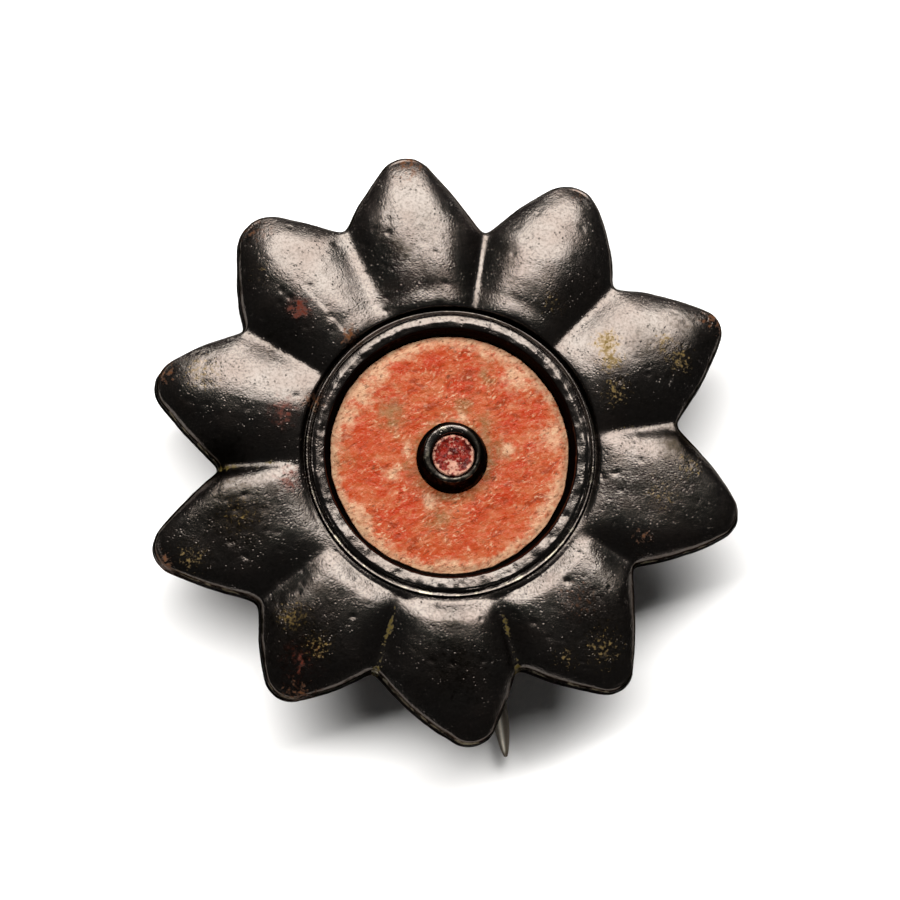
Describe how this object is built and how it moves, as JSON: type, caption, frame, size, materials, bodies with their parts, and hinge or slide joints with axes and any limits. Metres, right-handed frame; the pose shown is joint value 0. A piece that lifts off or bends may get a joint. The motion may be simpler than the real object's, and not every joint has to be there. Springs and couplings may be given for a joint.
{
  "type": "plate brooch",
  "caption": "Rosette plate brooch: domed petals round a raised ring, a sunken enamel disc and a small enamelled collar, with a straight pin, its holder and a catch on the flat back.",
  "frame": {"origin": "on the ring's axis, in the plane of the plate's flat back, where the cloth lies when the brooch is worn", "axes": "+Z out of the brooch's face; the pin points mainly towards -Y; the brooch lies on its pin holder and catch, 6.9 mm below the origin"},
  "size_m": [0.0501, 0.0511, 0.0124],
  "materials": {
    "patinated_bronze": "glossy, near-black patina with ochre and rust-brown patches",
    "red_enamel": "worn, crazed and uneven, orange-red going to salmon at the rim",
    "dark_red_enamel": "crusty, with pale crumbs",
    "worn_bronze": "brown and polished by wear"
  },
  "bodies": {
    "root": {"plate": "patinated_bronze", "enamel_disc": "red_enamel", "collar": "patinated_bronze", "collar_inlay": "dark_red_enamel", "pin": "worn_bronze"}
  },
  "joints": []
}
